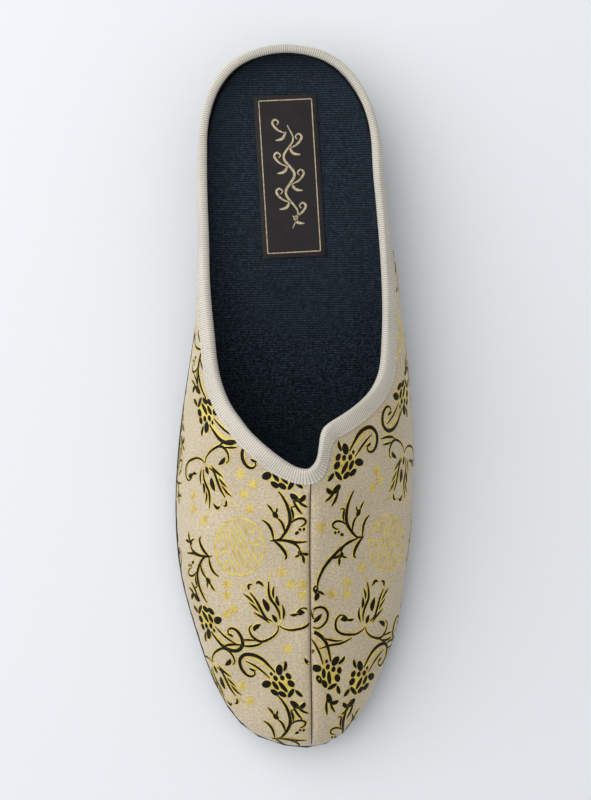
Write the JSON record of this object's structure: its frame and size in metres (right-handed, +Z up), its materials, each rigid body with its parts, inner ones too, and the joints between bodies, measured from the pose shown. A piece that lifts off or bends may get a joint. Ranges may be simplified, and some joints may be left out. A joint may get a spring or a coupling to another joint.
{
  "type": "babouche slipper",
  "caption": "Backless left-foot slipper with a seamed fabric vamp, a bound collar, a padded insole and a low-heeled moulded sole.",
  "frame": {"origin": "on the floor under the middle of the slipper's bounding box", "axes": "+Y towards the heel, -Y towards the toe, -X the inner (big toe) side, +X the outer side, +Z up"},
  "size_m": [0.0877, 0.2573, 0.0595],
  "materials": {
    "brocade": "cream satin with a woven black and gold pattern",
    "binding_tape": "cream ribbed tape",
    "sole_rubber": "matt black",
    "insole_terry": "matt navy-black pile",
    "patch": "smooth dark brown"
  },
  "bodies": {
    "root": {"upper": "brocade", "collar_binding": "binding_tape", "outsole": "sole_rubber", "insole": "insole_terry", "label_patch": "patch"}
  },
  "joints": []
}
